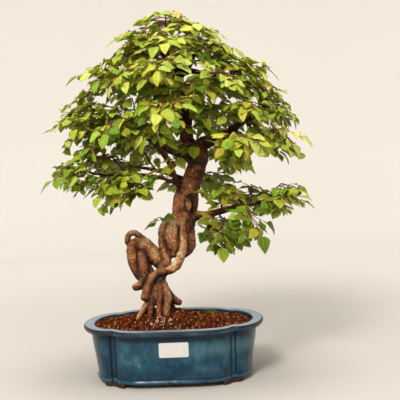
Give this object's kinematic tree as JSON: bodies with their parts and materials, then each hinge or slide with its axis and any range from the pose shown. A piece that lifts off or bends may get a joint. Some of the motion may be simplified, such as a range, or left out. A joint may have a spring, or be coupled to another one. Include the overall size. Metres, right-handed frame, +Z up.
{
  "type": "korean hornbeam bonsai in a pot",
  "caption": "Small leafy hornbeam tree with exposed gnarled roots and tiered leafy branches, growing in a lobed oblong glazed pot with a broad flat rim and low feet.",
  "frame": {"origin": "on the surface that the pot stands on, below the middle of the whole plant's bounding box", "axes": "+X along the pot's long side, to the viewer's right; +Y from the front of the pot to its back; +Z up"},
  "size_m": [0.391, 0.2928, 0.541],
  "materials": {
    "glaze": "mottled teal-blue glossy glaze, darker where it pools, on a stoneware body with bare feet",
    "grains": "matt red-brown baked clay grains 3 to 5 mm across",
    "bark": "rough tan bark, redder in the hollows between the roots",
    "foliage": "fresh green leaves, half matt, brighter and yellower at the top",
    "paper": "matt white paper",
    "mesh": "black moulded plastic mesh"
  },
  "bodies": {
    "root": {"label": "paper", "pot": "glaze", "screen_left": "mesh", "screen_right": "mesh", "soil": "grains", "spray_apex": "foliage", "spray_back_high": "foliage", "spray_back_left": "foliage", "spray_back_low": "foliage", "spray_back_low_side": "foliage", "spray_back_mid": "foliage", "spray_back_right": "foliage", "spray_front_high": "foliage", "spray_front_mid": "foliage", "spray_front_right": "foliage", "spray_high_left": "foliage", "spray_high_left_back": "foliage", "spray_high_left_front": "foliage", "spray_high_right": "foliage", "spray_high_right_back": "foliage", "spray_high_right_front": "foliage", "spray_left_back": "foliage", "spray_left_back_side": "foliage", "spray_left_front": "foliage", "spray_left_front_near": "foliage", "spray_left_front_side": "foliage", "spray_left_low": "foliage", "spray_left_low_side": "foliage", "spray_left_mid": "foliage", "spray_low_right": "foliage", "spray_low_right_back": "foliage", "spray_low_right_near": "foliage", "spray_low_right_side": "foliage", "spray_right_inner": "foliage", "spray_right_mid": "foliage", "spray_shoulder_left": "foliage", "spray_shoulder_right": "foliage", "spray_top_back": "foliage", "spray_top_front": "foliage", "spray_top_left": "foliage", "spray_top_left_side": "foliage", "spray_top_right": "foliage", "spray_top_side": "foliage", "spray_up_right": "foliage", "spray_up_right_side": "foliage", "spray_up_right_top": "foliage", "trunk": "bark"}
  },
  "joints": []
}
